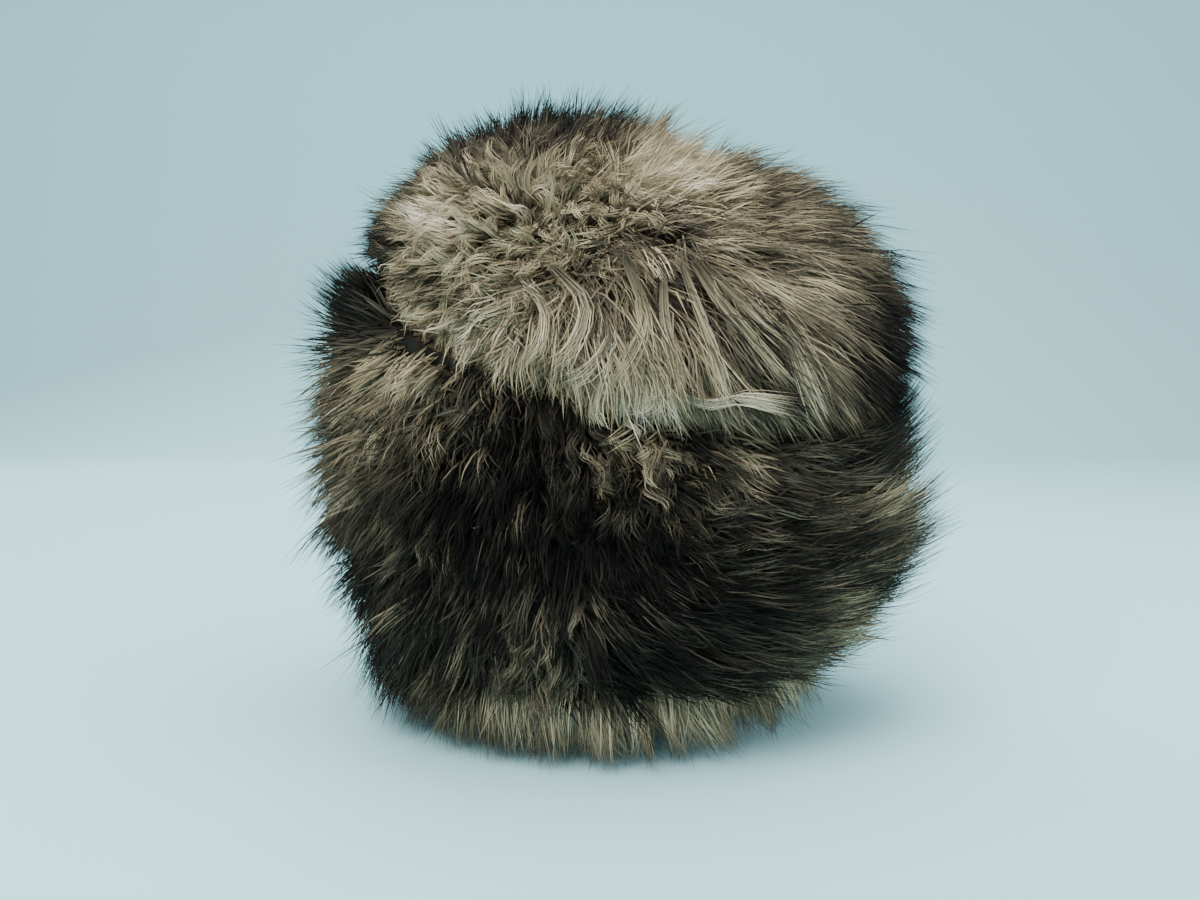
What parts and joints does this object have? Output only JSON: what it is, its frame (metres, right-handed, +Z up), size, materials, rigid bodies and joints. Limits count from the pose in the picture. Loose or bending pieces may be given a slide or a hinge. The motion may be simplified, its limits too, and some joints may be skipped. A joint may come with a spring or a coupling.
{
  "type": "fur hat",
  "caption": "Shaggy fur hat: a leaning round crown piece on a tall turned-up fur cuff, open below for the head, with pale hair below the rim",
  "frame": {"origin": "on the floor, under the middle of the hat's box", "axes": "+Z up; -Y the side with the long hanging locks, towards which the crown leans; +X the side on which the crown hangs low"},
  "size_m": [0.2986, 0.3116, 0.3028],
  "materials": {
    "pelt_leather": "matte suede side of a pelt",
    "pale_fur": "long beige fur with dark tips",
    "dark_fur": "deep dark brown fur with grey streaks",
    "fringe_fur": "pale grey hair with dark thin tips"
  },
  "bodies": {
    "root": {"crown": "pelt_leather", "cuff": "pelt_leather", "crown_fur": "pale_fur", "cuff_fur": "dark_fur", "rim_fringe": "fringe_fur"}
  },
  "joints": []
}
